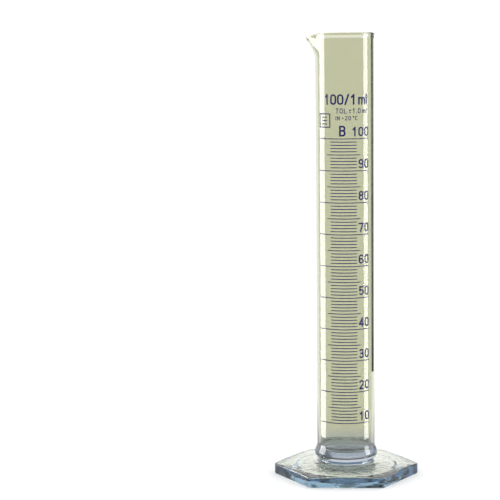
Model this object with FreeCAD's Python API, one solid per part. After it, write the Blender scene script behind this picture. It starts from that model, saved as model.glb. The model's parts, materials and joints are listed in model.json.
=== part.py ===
import FreeCAD, Part
import math
import os

# A 100 ml glass measuring cylinder: a drawn tube with a pulled spout, sealed to
# a pressed hexagonal foot, with a fired enamel scale on the front of the tube.
# Millimetres, +Z up. The origin is the middle of the foot's underside.
# The flats of the foot face -Y and +Y, and the spout points towards -X.

# --- tube ---
bore_radius = 13.9
wall = 1.3
bottom_thickness = 4.5
inner_corner_radius = 2.5
headroom = 54.1             # from the 100 ml mark up to the rim

# --- swollen end of the tube, where it was sealed to the foot hot ---
swell_out = 1.25            # beyond the straight wall, at its widest
swell_height = 3.7          # from the seal up to the widest place
swell_blend = 8.2           # from the seal up to the straight wall
seal_inset = 1.0            # of the face that meets the foot, from the straight wall
swell_curve_out = 0.78      # share of the way out that the lower curve has come
swell_curve_up = 0.36       # at this share of the way up

# --- rim and spout ---
mouth_depth = 13.0          # from the rim down to where the spout starts
rim_bead = 0.4              # how far the fire-polished rim stands out
rim_bead_height = 2.6
spout_reach = 4.5           # beyond the wall, at the lip
spout_half_angle = 36.0
spout_dip = 2.1             # how far the lip hangs below the rim
spout_growth = 1.35         # 1 is a straight underside, more curves it
ring_start = 195.0          # where the rings of the mouth join up, in degrees from the spout
seam_tolerance = 0.001      # of the joint between the mouth and the straight tube

# --- foot ---
foot_across_flats = 66.5
foot_corner_round = 3.6     # of the six upright edges
foot_corner_height = 5.4
foot_flat_height = 5.8      # in the middle of each side
foot_shoulder_height = 7.5  # beside the pedestal
shoulder_out = 1.4          # how far the pedestal's root stands beyond the tube
pedestal_rise = 1.3         # from the shoulder up to the seal
pedestal_curve_out = 0.2    # share of the way out to the root that its hollow curve is
pedestal_curve_up = 0.25    # at this share of the way up
foot_edge_round = 0.7
recess_radius = 26.5        # round hollow in the underside
recess_wall_depth = 1.2
recess_wall_slope = 1.4
recess_depth = 2.4          # in the middle
blank_margin = 4.0          # of the pressed blank beyond the hexagon that trims it

# --- scale ---
mark_from = 10
mark_to = 100
mark_width = 0.42
enamel_thickness = 0.06
one_ml_half_arc = 26.5
five_ml_half_arc = 34.0
print_turn = -3.5           # of the tube and its print on the foot, seen from above

# --- lettering: sizes in mm, places in degrees round the tube from the print's middle ---
numeral_lift = 0.76         # above its mark, in steps of 1 ml
numeral_headroom = 1.17     # below the 5 ml mark over it, in steps of 1 ml
numeral_weight = 0.159      # stroke, as a share of the numeral's own height
numeral_gap = 0.62
numeral_clearance = 3.5     # degrees to the right of the 1 ml marks
title_height = 5.4
title_stroke = 0.86
title_gap = 0.45
title_lift = 17.4           # above the 100 ml mark
title_angle = 5.3
class_height = 5.5
class_stroke = 0.86
class_gap = 3.2             # to the left of the 100
tolerance_height = 2.6
tolerance_stroke = 0.36
tolerance_gap = 0.5
tolerance_lift = 13.0
small_text_angle = -15.0    # left end of the two small lines
temperature_height = 2.2
temperature_stroke = 0.32
temperature_gap = 0.46
temperature_lift = 9.5
emblem_side = 7.4
emblem_stroke = 0.55
emblem_bars = 3
emblem_gap = 3.0            # to the left of the small lines
emblem_lift = 5.6
emblem_bar_inset = 0.3      # share of the side left clear at each end of a bar
ribbon_back = 0.9           # where the flat strokes end, as a share of the tube's radius

# --- worked out ---
tube_radius = bore_radius + wall
swell_radius = tube_radius + swell_out
seal_radius = tube_radius - seal_inset
shoulder_radius = tube_radius + shoulder_out
pedestal_height = foot_shoulder_height + pedestal_rise
ml_height = 1000.0 / (math.pi * bore_radius ** 2)
corner_radius_lost = inner_corner_radius ** 2 * (1 - math.pi / 4) * 2 / bore_radius
bore_floor = pedestal_height + bottom_thickness
zero_height = bore_floor + corner_radius_lost
rim_height = zero_height + mark_to * ml_height + headroom
mouth_floor = rim_height - mouth_depth
lip_radius = (wall + rim_bead) / 2
foot_corner_radius = foot_across_flats / math.sqrt(3)
numeral_height = (5 - numeral_lift - numeral_headroom) * ml_height - mark_width / 2
numeral_stroke = numeral_weight * numeral_height
UP = FreeCAD.Vector(0, 0, 1)
CENTRE = FreeCAD.Vector(0, 0, 0)


def mark_height(millilitres):
    return zero_height + millilitres * ml_height


def save(name, solids):
    """Writes one node, as a single solid or as a group of separate solids."""
    shape = solids[0] if len(solids) == 1 else Part.makeCompound(solids)
    shape.exportStep("parts/" + name + ".step")
    volume = sum(solid.Volume for solid in solids)
    print(f"{name:20s} {len(solids):3d} solids {volume:12.3f} mm3 valid {shape.isValid()}")


def radial(radius, height):
    """A point of a turned profile, in the plane of X and Z."""
    return FreeCAD.Vector(radius, 0, height)


def line(start, end):
    return Part.makeLine(start, end)


def arc(start, middle, end):
    return Part.Arc(start, middle, end).toShape()


def spin(edges):
    return Part.Face(Part.Wire(edges)).revolve(CENTRE, UP, 360)


# --- tube -------------------------------------------------------------------

def lower_tube():
    """The straight tube with its closed, swollen end, turned from one profile."""
    widest = pedestal_height + swell_height
    straight = pedestal_height + swell_blend
    under_bulge = radial(
        seal_radius + swell_curve_out * (swell_radius - seal_radius),
        pedestal_height + swell_curve_up * swell_height,
    )
    over_bulge = Part.BSplineCurve()
    over_bulge.interpolate(
        [radial(swell_radius, widest), radial(tube_radius, straight)], Tangents=[UP, UP]
    )
    corner_middle = inner_corner_radius * (1 - math.sqrt(0.5))
    return spin([
        line(radial(0, pedestal_height), radial(seal_radius, pedestal_height)),
        arc(radial(seal_radius, pedestal_height), under_bulge, radial(swell_radius, widest)),
        over_bulge.toShape(),
        line(radial(tube_radius, straight), radial(tube_radius, mouth_floor)),
        line(radial(tube_radius, mouth_floor), radial(bore_radius, mouth_floor)),
        line(radial(bore_radius, mouth_floor), radial(bore_radius, bore_floor + inner_corner_radius)),
        arc(
            radial(bore_radius, bore_floor + inner_corner_radius),
            radial(bore_radius - corner_middle, bore_floor + corner_middle),
            radial(bore_radius - inner_corner_radius, bore_floor),
        ),
        line(radial(bore_radius - inner_corner_radius, bore_floor), radial(0, bore_floor)),
        line(radial(0, bore_floor), radial(0, pedestal_height)),
    ])


def spout_share(angle):
    """How much of the spout's reach and dip the rim has at this angle from -X."""
    away = abs((angle + 180) % 360 - 180)
    if away >= spout_half_angle:
        return 0.0
    return math.cos(math.pi / 2 * away / spout_half_angle) ** 2


def mouth_ring(radius_at, height_at, points=72):
    """A closed smooth curve round the mouth. It starts on the side away from the spout."""
    places = []
    for step in range(points):
        angle = ring_start + 360 * step / points
        turn = math.radians(angle)
        radius = radius_at(angle)
        places.append(FreeCAD.Vector(-radius * math.cos(turn), -radius * math.sin(turn), height_at(angle)))
    curve = Part.BSplineCurve()
    curve.interpolate(places, PeriodicFlag=True)
    return Part.Wire(curve.toShape())


def mouth():
    """The rim with its bead and spout, skinned over rings: outer wall, rounded lip, inner wall."""
    def top(angle):
        return rim_height - spout_dip * spout_share(angle)

    def grown(angle, share):
        return spout_reach * spout_share(angle) * share ** spout_growth

    def bead(share):
        rise = max(0.0, 1 - (1 - share) * (mouth_depth - lip_radius) / rim_bead_height)
        return rim_bead * math.sin(math.pi / 2 * rise) ** 2

    def wall_ring(radius, with_bead, share):
        return mouth_ring(
            lambda angle: radius + grown(angle, share) + with_bead * bead(share),
            lambda angle: mouth_floor + (top(angle) - lip_radius - mouth_floor) * share,
        )

    def lip_ring(turn):
        middle = bore_radius + lip_radius
        return mouth_ring(
            lambda angle: middle + grown(angle, 1) + lip_radius * math.cos(turn),
            lambda angle: top(angle) - lip_radius + lip_radius * math.sin(turn),
        )

    shares = [0, 0.1, 0.25, 0.4, 0.55, 0.7, 0.8, 0.87, 0.94, 1]
    outer_rings = [wall_ring(tube_radius, 1, share) for share in shares]
    inner_rings = [wall_ring(bore_radius, 0, share) for share in reversed(shares)]
    lip_rings = [lip_ring(math.radians(turn)) for turn in range(30, 180, 30)]
    lip_rings = outer_rings[-1:] + lip_rings + inner_rings[:1]
    faces = [Part.Face([outer_rings[0], inner_rings[-1]])]
    for rings in (outer_rings, lip_rings, inner_rings):
        faces += Part.makeLoft(rings, False, False).Faces
    shell = Part.makeShell(faces)
    shell.sewShape()
    solid = Part.makeSolid(Part.Shell(shell.Faces))
    if solid.Volume < 0:
        solid.reverse()
    return solid


def measuring_tube():
    tube = lower_tube().fuse(mouth(), seam_tolerance)
    return turned(tube.Solids[0])


def turned(solid):
    return solid.rotated(CENTRE, UP, print_turn)


# --- foot -------------------------------------------------------------------

def is_upright(edge):
    return abs(edge.tangentAt(edge.FirstParameter).z) > math.sqrt(0.5)


def hexagon_prism(height):
    corners = []
    for corner in range(7):
        turn = math.radians(60 * corner)
        corners.append(FreeCAD.Vector(
            foot_corner_radius * math.cos(turn), foot_corner_radius * math.sin(turn), 0
        ))
    prism = Part.Face(Part.makePolygon(corners)).extrude(UP * height)
    return prism.makeFillet(foot_corner_round, [edge for edge in prism.Edges if is_upright(edge)])


def foot_top():
    """What the pressing mould forms from above: pedestal, shoulder and domed top."""
    beyond = foot_corner_radius + blank_margin
    flat_radius = foot_across_flats / 2
    rim_slope = (foot_flat_height - foot_corner_height) / (foot_corner_radius - flat_radius)
    beyond_height = foot_corner_height - rim_slope * (beyond - foot_corner_radius)
    hollow = radial(
        seal_radius + pedestal_curve_out * (shoulder_radius - seal_radius),
        foot_shoulder_height + pedestal_curve_up * (pedestal_height - foot_shoulder_height),
    )
    return spin([
        line(radial(0, 0), radial(beyond, 0)),
        line(radial(beyond, 0), radial(beyond, beyond_height)),
        arc(
            radial(beyond, beyond_height),
            radial(flat_radius, foot_flat_height),
            radial(shoulder_radius, foot_shoulder_height),
        ),
        arc(
            radial(shoulder_radius, foot_shoulder_height), hollow, radial(seal_radius, pedestal_height)
        ),
        line(radial(seal_radius, pedestal_height), radial(0, pedestal_height)),
        line(radial(0, pedestal_height), radial(0, 0)),
    ])


def recess():
    """The round hollow pressed in the underside, so that the foot stands on its outer part."""
    ceiling_radius = recess_radius - recess_wall_slope
    rise = recess_depth - recess_wall_depth
    ball_radius = (ceiling_radius ** 2 + rise ** 2) / (2 * rise)
    halfway = math.asin(ceiling_radius / ball_radius) / 2
    crown = radial(
        ball_radius * math.sin(halfway), recess_depth - ball_radius * (1 - math.cos(halfway))
    )
    return spin([
        line(radial(0, 0), radial(recess_radius, 0)),
        line(radial(recess_radius, 0), radial(ceiling_radius, recess_wall_depth)),
        arc(radial(ceiling_radius, recess_wall_depth), crown, radial(0, recess_depth)),
        line(radial(0, recess_depth), radial(0, 0)),
    ])


def hex_foot():
    """The pressed blank trimmed to the hexagon, with the edges of its outline rounded."""
    blank = foot_top().common(hexagon_prism(pedestal_height + blank_margin))
    outer_part = (shoulder_radius + foot_across_flats / 2) / 2
    outline = [
        edge for edge in blank.Edges
        if math.hypot(edge.CenterOfMass.x, edge.CenterOfMass.y) > outer_part and not is_upright(edge)
    ]
    return blank.makeFillet(foot_edge_round, outline).cut(recess())


# --- enamel marks -----------------------------------------------------------

def scale_mark(millilitres, half_arc):
    """One line of the scale: a short strip of enamel lying round the tube."""
    low = mark_height(millilitres) - mark_width / 2
    corners = [
        FreeCAD.Vector(0, -tube_radius, low),
        FreeCAD.Vector(0, -tube_radius - enamel_thickness, low),
        FreeCAD.Vector(0, -tube_radius - enamel_thickness, low + mark_width),
        FreeCAD.Vector(0, -tube_radius, low + mark_width),
    ]
    strip = Part.Face(Part.makePolygon(corners + corners[:1])).revolve(CENTRE, UP, 2 * half_arc)
    return turned(strip.rotated(CENTRE, UP, -half_arc))


def scale_marks():
    """The marks by length: one for each 10 ml, each 5 ml between, and the rest."""
    longest, middling, shortest = [], [], []
    for millilitres in range(mark_from, mark_to + 1):
        if millilitres % 10 == 0:
            longest.append(scale_mark(millilitres, ten_ml_half_arc()))
        elif millilitres % 5 == 0:
            middling.append(scale_mark(millilitres, five_ml_half_arc))
        else:
            shortest.append(scale_mark(millilitres, one_ml_half_arc))
    return longest, middling, shortest


# --- lettering --------------------------------------------------------------
# A glyph is its width and a list of strokes. A stroke is a chain of lines and arcs
# along its middle, in units of the middle's full height, with y = 0 on the baseline.
# A line is its two ends, and an arc is its centre, radius, and first and last degree.
# A space takes back some of the two gaps beside it, so its width is below nothing.

def pen_line(*numbers):
    return ("line", *numbers)


def pen_arc(*numbers):
    return ("arc", *numbers)


def ring(x, y, radius):
    return [pen_arc(x, y, radius, 0, 360)]


def oval(width):
    """A closed loop of full height with round ends."""
    half = width / 2
    return [
        pen_arc(half, 1 - half, half, 0, 180),
        pen_line(0, 1 - half, 0, half),
        pen_arc(half, half, half, 180, 360),
        pen_line(width, half, width, 1 - half),
    ]


GLYPHS = {
    "0": (0.54, [oval(0.54)]),
    "1": (0.54, [[pen_line(0.31, 0, 0.31, 1)], [pen_line(0.09, 0.78, 0.31, 1)]]),
    "2": (0.54, [
        [pen_arc(0.27, 0.73, 0.27, 172, -40)],
        [pen_line(0.465, 0.545, 0.02, 0.02)],
        [pen_line(0, 0, 0.54, 0)],
    ]),
    "3": (0.54, [
        [pen_arc(0.265, 0.76, 0.24, 165, -90)],
        [pen_arc(0.265, 0.26, 0.26, 90, -165)],
        [pen_line(0.18, 0.52, 0.265, 0.52)],
    ]),
    "4": (0.54, [
        [pen_line(0.4, 0, 0.4, 1)],
        [pen_line(0.4, 1, 0, 0.27)],
        [pen_line(0, 0.25, 0.56, 0.25)],
    ]),
    "5": (0.54, [
        [pen_line(0.1, 1, 0.5, 1)],
        [pen_line(0.08, 1, 0.04, 0.5)],
        [pen_arc(0.255, 0.32, 0.285, 142, -152)],
    ]),
    "6": (0.54, [
        ring(0.27, 0.28, 0.27),
        [pen_line(0, 0.28, 0, 0.73), pen_arc(0.27, 0.73, 0.27, 180, 22)],
    ]),
    "7": (0.54, [[pen_line(0, 1, 0.52, 1)], [pen_line(0.52, 1, 0.17, 0)]]),
    "8": (0.54, [ring(0.27, 0.76, 0.235), ring(0.27, 0.265, 0.265)]),
    "9": (0.54, [
        ring(0.27, 0.72, 0.27),
        [pen_arc(0.27, 0.27, 0.27, 202, 360), pen_line(0.54, 0.27, 0.54, 0.72)],
    ]),
    "/": (0.36, [[pen_line(0, -0.02, 0.36, 1.02)]]),
    "+": (0.5, [[pen_line(0.1, 0.5, 0.4, 0.5)], [pen_line(0.25, 0.35, 0.25, 0.65)]]),
    "±": (0.5, [
        [pen_line(0.1, 0.6, 0.4, 0.6)],
        [pen_line(0.25, 0.45, 0.25, 0.75)],
        [pen_line(0.1, 0.1, 0.4, 0.1)],
    ]),
    ".": (0.02, [[pen_line(0, 0, 0.02, 0)]]),
    "°": (0.26, [ring(0.13, 0.87, 0.13)]),
    "B": (0.54, [
        [pen_line(0, 0, 0, 1)],
        [pen_line(0, 1, 0.28, 1), pen_arc(0.28, 0.765, 0.235, 90, -90), pen_line(0.28, 0.53, 0, 0.53)],
        [pen_arc(0.28, 0.265, 0.265, 90, -90), pen_line(0.28, 0, 0, 0)],
    ]),
    "C": (0.54, [[
        pen_arc(0.29, 0.71, 0.29, 28, 180), pen_line(0, 0.71, 0, 0.29), pen_arc(0.29, 0.29, 0.29, 180, 332),
    ]]),
    "I": (0.0, [[pen_line(0, 0, 0, 1)]]),
    "L": (0.44, [[pen_line(0, 1, 0, 0)], [pen_line(0, 0, 0.44, 0)]]),
    "N": (0.54, [[pen_line(0, 0, 0, 1)], [pen_line(0, 1, 0.54, 0)], [pen_line(0.54, 0, 0.54, 1)]]),
    "O": (0.62, [oval(0.62)]),
    "T": (0.54, [[pen_line(0, 1, 0.54, 1)], [pen_line(0.27, 0, 0.27, 1)]]),
    "l": (0.0, [[pen_line(0, 0, 0, 1)]]),
    "m": (0.76, [
        [pen_line(0, 0, 0, 0.68)],
        [pen_arc(0.19, 0.49, 0.19, 180, 0), pen_line(0.38, 0.49, 0.38, 0)],
        [pen_arc(0.57, 0.49, 0.19, 180, 0), pen_line(0.76, 0.49, 0.76, 0)],
    ]),
    " ": (-0.15, []),
}


def along(piece, share, aside):
    """A point on a piece, from its start (share 0) to its end (1), moved to its left."""
    if piece[0] == "line":
        x0, y0, x1, y1 = piece[1:]
        length = math.hypot(x1 - x0, y1 - y0)
        return (
            x0 + (x1 - x0) * share - (y1 - y0) / length * aside,
            y0 + (y1 - y0) * share + (x1 - x0) / length * aside,
        )
    x, y, radius, start, end = piece[1:]
    turn = math.radians(start + (end - start) * share)
    radius += -aside if end > start else aside
    return (x + radius * math.cos(turn), y + radius * math.sin(turn))


def squared(stroke, half):
    """The stroke with its straight ends run on by half its width, so that corners fill."""
    pieces = list(stroke)
    if pieces[0][0] == "line":
        x0, y0, x1, y1 = pieces[0][1:]
        reach = half / math.hypot(x1 - x0, y1 - y0)
        pieces[0] = pen_line(x0 - (x1 - x0) * reach, y0 - (y1 - y0) * reach, x1, y1)
    if pieces[-1][0] == "line":
        x0, y0, x1, y1 = pieces[-1][1:]
        reach = half / math.hypot(x1 - x0, y1 - y0)
        pieces[-1] = pen_line(x0, y0, x1 + (x1 - x0) * reach, y1 + (y1 - y0) * reach)
    return pieces


def stroke_prism(stroke, half, scale, front, back):
    """One stroke as a flat ribbon, run from the front plane to the back plane."""
    depth = FreeCAD.Vector(0, back - front, 0)

    def point(place):
        return FreeCAD.Vector(place[0] * scale, front, place[1] * scale)

    def edge(piece, aside, backwards=False):
        start, end = (1, 0) if backwards else (0, 1)
        start, middle, end = (point(along(piece, share, aside)) for share in (start, 0.5, end))
        return line(start, end) if piece[0] == "line" else arc(start, middle, end)

    first, last = along(stroke[0], 0, 0), along(stroke[-1], 1, 0)
    if math.dist(first, last) < half / 100:
        if len(stroke) == 1:
            x, y, radius = stroke[0][1:4]
            across = FreeCAD.Vector(0, 1, 0)
            radii = [(radius + aside) * scale for aside in (half, -half)]
            sides = [Part.makeCircle(side_radius, point((x, y)), across) for side_radius in radii]
        else:
            sides = [Part.Wire([edge(piece, aside) for piece in stroke]) for aside in (-half, half)]
        outer, inner = (Part.Face(Part.Wire(side)).extrude(depth) for side in sides)
        return outer.cut(inner)
    pieces = squared(stroke, half)
    left = [edge(piece, half) for piece in pieces]
    right = [edge(piece, -half, True) for piece in reversed(pieces)]
    end_cap = line(point(along(pieces[-1], 1, half)), point(along(pieces[-1], 1, -half)))
    start_cap = line(point(along(pieces[0], 0, -half)), point(along(pieces[0], 0, half)))
    return Part.Face(Part.Wire(left + [end_cap] + right + [start_cap])).extrude(depth)


def glyph_on_tube(glyph, cap_height, stroke_width, angle, baseline):
    """One character, pressed on to the tube's outside with its middle at the angle."""
    width, strokes = glyph
    scale = cap_height - stroke_width
    half = stroke_width / 2 / scale
    front = -tube_radius - 2 * enamel_thickness
    back = -tube_radius * ribbon_back
    prisms = [stroke_prism(stroke, half, scale, front, back) for stroke in strokes]
    flat = prisms[0].multiFuse(prisms[1:]) if len(prisms) > 1 else prisms[0]
    flat.translate(FreeCAD.Vector(-width * scale / 2, 0, 0))
    low = CENTRE - UP * cap_height
    skin = Part.makeCylinder(tube_radius + enamel_thickness, 3 * cap_height, low)
    skin = skin.cut(Part.makeCylinder(tube_radius, 3 * cap_height, low))
    lift = UP * (baseline + stroke_width / 2)
    return [
        turned(solid.translated(lift).rotated(CENTRE, UP, angle)) for solid in flat.common(skin).Solids
    ]


def advance(character, cap_height, stroke_width):
    return GLYPHS[character][0] * (cap_height - stroke_width) + stroke_width


def text_width(text, cap_height, stroke_width, gap):
    return sum(advance(character, cap_height, stroke_width) for character in text) + gap * (len(text) - 1)


def text_on_tube(text, cap_height, stroke_width, gap, left_angle, baseline):
    """A line of characters round the tube, starting at the left angle."""
    place = 0.0
    solids = []
    for character in text:
        width = advance(character, cap_height, stroke_width)
        if GLYPHS[character][1]:
            angle = left_angle + math.degrees((place + width / 2) / tube_radius)
            solids += glyph_on_tube(GLYPHS[character], cap_height, stroke_width, angle, baseline)
        place += width + gap
    return solids


def numeral_left_angle(text):
    """Where a number starts, so that it ends where two digits beside the 1 ml marks do."""
    pair = text_width("00", numeral_height, numeral_stroke, numeral_gap)
    width = text_width(text, numeral_height, numeral_stroke, numeral_gap)
    return one_ml_half_arc + numeral_clearance + math.degrees((pair - width) / tube_radius)


def ten_ml_half_arc():
    """The long marks run as far as the numerals that stand on them."""
    pair = text_width("00", numeral_height, numeral_stroke, numeral_gap)
    return numeral_left_angle("00") + math.degrees(pair / tube_radius)


def numeral(millilitres):
    """A number standing on its mark, with its right edge over the mark's right end."""
    text = str(millilitres)
    left_angle = numeral_left_angle(text)
    baseline = mark_height(millilitres + numeral_lift)
    return text_on_tube(text, numeral_height, numeral_stroke, numeral_gap, left_angle, baseline)


def title():
    width = text_width(TITLE_TEXT, title_height, title_stroke, title_gap)
    left_angle = title_angle - math.degrees(width / 2 / tube_radius)
    baseline = mark_height(mark_to) + title_lift
    return text_on_tube(TITLE_TEXT, title_height, title_stroke, title_gap, left_angle, baseline)


def class_letter():
    width = advance("B", class_height, class_stroke)
    angle = numeral_left_angle(str(mark_to)) - math.degrees((class_gap + width / 2) / tube_radius)
    baseline = mark_height(mark_to + numeral_lift)
    return glyph_on_tube(GLYPHS["B"], class_height, class_stroke, angle, baseline)


def tolerance_label():
    baseline = mark_height(mark_to) + tolerance_lift
    return text_on_tube(
        TOLERANCE_TEXT, tolerance_height, tolerance_stroke, tolerance_gap, small_text_angle, baseline
    )


def temperature_label():
    baseline = mark_height(mark_to) + temperature_lift
    return text_on_tube(
        TEMPERATURE_TEXT, temperature_height, temperature_stroke, temperature_gap, small_text_angle, baseline
    )


def level_emblem():
    """A plain square frame with level bars in it."""
    corners = [(0, 0), (1, 0), (1, 1), (0, 1), (0, 0)]
    frame = [[pen_line(*start, *end)] for start, end in zip(corners, corners[1:])]
    heights = [(bar + 1) / (emblem_bars + 1) for bar in range(emblem_bars)]
    bars = [[pen_line(emblem_bar_inset, height, 1 - emblem_bar_inset, height)] for height in heights]
    baseline = mark_height(mark_to) + emblem_lift
    angle = small_text_angle - math.degrees((emblem_gap + emblem_side / 2) / tube_radius)
    return glyph_on_tube((1, frame + bars), emblem_side, emblem_stroke, angle, baseline)


TITLE_TEXT = f"{mark_to}/1 ml"
TOLERANCE_TEXT = "TOL ±1.0 ml"
TEMPERATURE_TEXT = "IN +20 °C"

os.makedirs("parts", exist_ok=True)
save("measuring_tube", [measuring_tube()])
save("hex_foot", [hex_foot()])
for name, marks in zip(("ten_ml_marks", "five_ml_marks", "one_ml_marks"), scale_marks()):
    save(name, marks)
for millilitres in range(mark_from, mark_to + 1, 10):
    save(f"numeral_{millilitres}", numeral(millilitres))
save("capacity_title", title())
save("class_letter", class_letter())
save("tolerance_label", tolerance_label())
save("temperature_label", temperature_label())
save("level_emblem", level_emblem())
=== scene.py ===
import json
import math

import bmesh
import bpy
from mathutils import Matrix, Vector


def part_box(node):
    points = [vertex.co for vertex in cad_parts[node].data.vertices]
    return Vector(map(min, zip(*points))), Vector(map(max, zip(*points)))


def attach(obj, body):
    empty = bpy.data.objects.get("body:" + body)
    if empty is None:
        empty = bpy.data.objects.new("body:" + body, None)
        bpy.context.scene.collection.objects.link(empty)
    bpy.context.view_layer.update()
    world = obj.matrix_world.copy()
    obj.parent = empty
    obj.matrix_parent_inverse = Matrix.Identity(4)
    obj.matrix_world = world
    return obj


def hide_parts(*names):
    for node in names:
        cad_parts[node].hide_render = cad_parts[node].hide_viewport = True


# A 100 ml glass measuring cylinder: drawn tube with a pulled spout, pressed hexagonal
# foot, and a fired enamel scale. Metres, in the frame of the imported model: +Z up, the
# scale faces -Y and the spout points towards -X.

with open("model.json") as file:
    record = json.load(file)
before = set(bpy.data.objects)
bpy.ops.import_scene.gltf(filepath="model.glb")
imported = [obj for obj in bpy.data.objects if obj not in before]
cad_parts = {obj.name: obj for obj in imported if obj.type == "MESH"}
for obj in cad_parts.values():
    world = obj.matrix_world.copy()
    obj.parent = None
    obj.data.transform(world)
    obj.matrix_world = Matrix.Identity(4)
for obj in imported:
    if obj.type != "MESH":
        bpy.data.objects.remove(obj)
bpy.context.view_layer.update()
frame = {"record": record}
RECORD = frame["record"]
MM = 0.001

# --- sizes read from the frame ------------------------------------------------

MOUNTS = {mount["name"]: mount for mount in RECORD["mounts"]}
BORE = MOUNTS["tube_bore"]
BORE_RADIUS = BORE["dims"]["r_mm"] * MM
TUBE_RADIUS = MOUNTS["tube_outside"]["dims"]["r_mm"] * MM
WALL = TUBE_RADIUS - BORE_RADIUS
STRAIGHT_LOW = BORE["pos_m"][2] - BORE["dims"]["length_mm"] * MM / 2
MOUTH_FLOOR = BORE["pos_m"][2] + BORE["dims"]["length_mm"] * MM / 2
SEAL_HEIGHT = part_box("measuring_tube")[0].z
RIM_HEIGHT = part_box("measuring_tube")[1].z
FOOT_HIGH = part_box("hex_foot")[1]
FLATS_HALF = FOOT_HIGH.y

# --- sizes of the tube and its spout -------------------------------------------

INNER_CORNER = 2.5 * MM
BORE_FLOOR = STRAIGHT_LOW - INNER_CORNER
SWELL_OUT = 1.25 * MM
SWELL_HEIGHT = 3.7 * MM
SWELL_BLEND = 8.2 * MM
SEAL_INSET = 1.0 * MM
SWELL_CURVE_OUT = 0.78          # share of the way out that the lower curve has come
SWELL_CURVE_UP = 0.36           # at this share of the way up
RIM_BEAD = 0.4 * MM
RIM_BEAD_HEIGHT = 2.6 * MM
SPOUT_REACH = 4.5 * MM
SPOUT_HALF_ANGLE = math.radians(36)
SPOUT_DIP = 2.1 * MM
SPOUT_GROWTH = 1.35
PRINT_TURN = math.radians(-3.5)
TUBE_SEGMENTS = 240
BEAD_STEPS = 8
OVERLAP = 0.01 * MM             # of two sealed pieces, so that light passes between them
SHARP_ANGLE = math.radians(35)  # between faces, past which an edge is not smoothed over
SAME_PLACE = 1e-7               # points closer than this are one point

# --- sizes of the foot -----------------------------------------------------------

CORNER_ROUND = 3.6 * MM
CORNER_HEIGHT = 5.4 * MM
FLAT_HEIGHT = 5.8 * MM
SHOULDER_HEIGHT = 7.5 * MM
SHOULDER_OUT = 1.4 * MM
EDGE_ROUND = 0.7 * MM
RECESS_RADIUS = 26.5 * MM
RECESS_WALL_DEPTH = 1.2 * MM
RECESS_WALL_SLOPE = 1.4 * MM
RECESS_DEPTH = 2.4 * MM
PEDESTAL_CURVE_OUT = 0.2        # share of the way out to the shoulder that its hollow curve has come
PEDESTAL_CURVE_UP = 0.25        # at this share of the way up
DOME_MARGIN = 4 * MM            # how far past the corners the dome's curve is drawn
CORNER_STEPS = 8
FLAT_STEPS = 14
DOME_STEPS = 20
EDGE_STEPS = 6
CEILING_STEPS = 12

# --- sizes of the print ------------------------------------------------------------

MARK_FROM = 10
MARK_TO = 100
MARK_WIDTH = 0.42 * MM
ENAMEL = 0.06 * MM
ONE_ML_HALF_ARC = math.radians(26.5)
FIVE_ML_HALF_ARC = math.radians(34)
MARKS_LOW, MARKS_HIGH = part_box("ten_ml_marks")
ML_HEIGHT = (MARKS_HIGH.z - MARKS_LOW.z - MARK_WIDTH) / (MARK_TO - MARK_FROM)
ZERO_HEIGHT = MARKS_LOW.z + MARK_WIDTH / 2 - MARK_FROM * ML_HEIGHT
PRINT_BITE = 0.004 * MM         # into the glass, because fired enamel fuses with it
PRINT_STEP = 0.3 * MM           # between the points of a stroke
STROKE_LIFT = 0.0015 * MM       # of each stroke over the one that it crosses
ARC_STEP = 12                   # degrees between the points of a curved stroke

# --- lettering: places are angles round the tube from the print's middle -------------

NUMERAL_LIFT = 0.76             # above its mark, in steps of 1 ml
NUMERAL_HEADROOM = 1.17         # below the 5 ml mark over it, in steps of 1 ml
NUMERAL_HEIGHT = (5 - NUMERAL_LIFT - NUMERAL_HEADROOM) * ML_HEIGHT - MARK_WIDTH / 2
NUMERAL_WEIGHT = 0.159          # stroke, as a share of the numeral's own height
NUMERAL_STROKE = NUMERAL_WEIGHT * NUMERAL_HEIGHT
NUMERAL_GAP = 0.62 * MM
NUMERAL_CLEARANCE = math.radians(3.5)
TITLE_TEXT = f"{MARK_TO}/1 ml"
TITLE_HEIGHT = 5.4 * MM
TITLE_STROKE = 0.86 * MM
TITLE_GAP = 0.45 * MM
TITLE_LIFT = 17.4 * MM
TITLE_ANGLE = math.radians(5.3)
CLASS_HEIGHT = 5.5 * MM
CLASS_STROKE = 0.86 * MM
CLASS_GAP = 3.2 * MM
TOLERANCE_TEXT = "TOL ±1.0 ml"
TOLERANCE_HEIGHT = 2.6 * MM
TOLERANCE_STROKE = 0.36 * MM
TOLERANCE_GAP = 0.5 * MM
TOLERANCE_LIFT = 13.0 * MM
SMALL_TEXT_ANGLE = math.radians(-15)
TEMPERATURE_TEXT = "IN +20 °C"
TEMPERATURE_HEIGHT = 2.2 * MM
TEMPERATURE_STROKE = 0.32 * MM
TEMPERATURE_GAP = 0.46 * MM
TEMPERATURE_LIFT = 9.5 * MM
EMBLEM_SIDE = 7.4 * MM
EMBLEM_STROKE = 0.55 * MM
EMBLEM_BARS = 3
EMBLEM_GAP = 3.0 * MM
EMBLEM_LIFT = 5.6 * MM
EMBLEM_BAR_INSET = 0.3          # share of the side left clear at each end of a bar

# --- glass and enamel -----------------------------------------------------------------

GLASS_IOR = 1.48
GLASS_WAVE = 0.4 * MM           # height of the faint waves in its surface
THIN_GLASS = (0.66, 0.67, 0.535, 1)
THICK_GLASS = (0.50, 0.53, 0.60, 1)
# the foot's clear tint, lightened as painted light on its top and underside
FOOT_TINT_AND_PAINTED_LIGHT = (0.95, 0.98, 0.88, 1)
# painted dark blue shade and reflection on the foot's upright sides
FOOT_SIDE_PAINTED_SHADE = (0.05, 0.13, 0.26, 1)
THIN_ENAMEL = (0.006, 0.010, 0.12, 1)
THICK_ENAMEL = (0.002, 0.003, 0.055, 1)

# --- studio: bearings in degrees --------------------------------------------------------

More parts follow.
